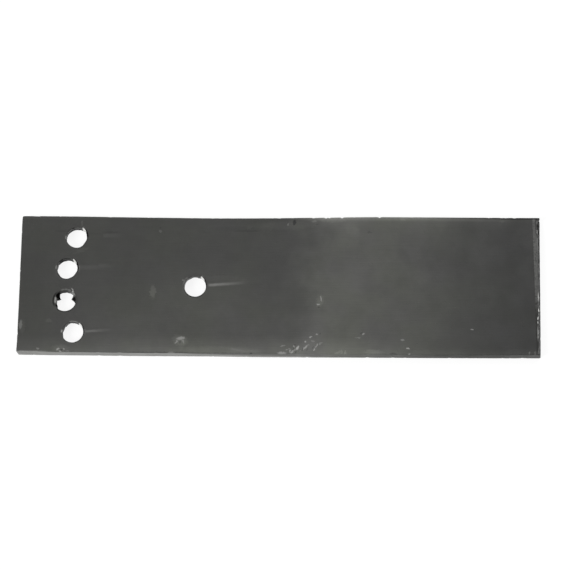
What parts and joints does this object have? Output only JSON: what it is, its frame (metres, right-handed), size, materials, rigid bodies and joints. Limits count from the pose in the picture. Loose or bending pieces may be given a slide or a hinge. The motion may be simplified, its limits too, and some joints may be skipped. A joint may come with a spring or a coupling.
{
  "type": "plough landside plate",
  "caption": "Flat sheared steel wear plate that bears on the furrow wall, with a pivot hole and an arc of adjusting holes near one end.",
  "frame": {"origin": "middle of the back face, which the plate lies on", "axes": "+X along the plate away from its holed end, +Y to its top edge, +Z out of its worn face"},
  "size_m": [0.4376, 0.121, 0.01],
  "materials": {
    "worn_steel": "dark scaled steel, rubbed lighter by soil, bare at edges and hole walls"
  },
  "bodies": {
    "root": {"landside_plate": "worn_steel"}
  },
  "joints": []
}
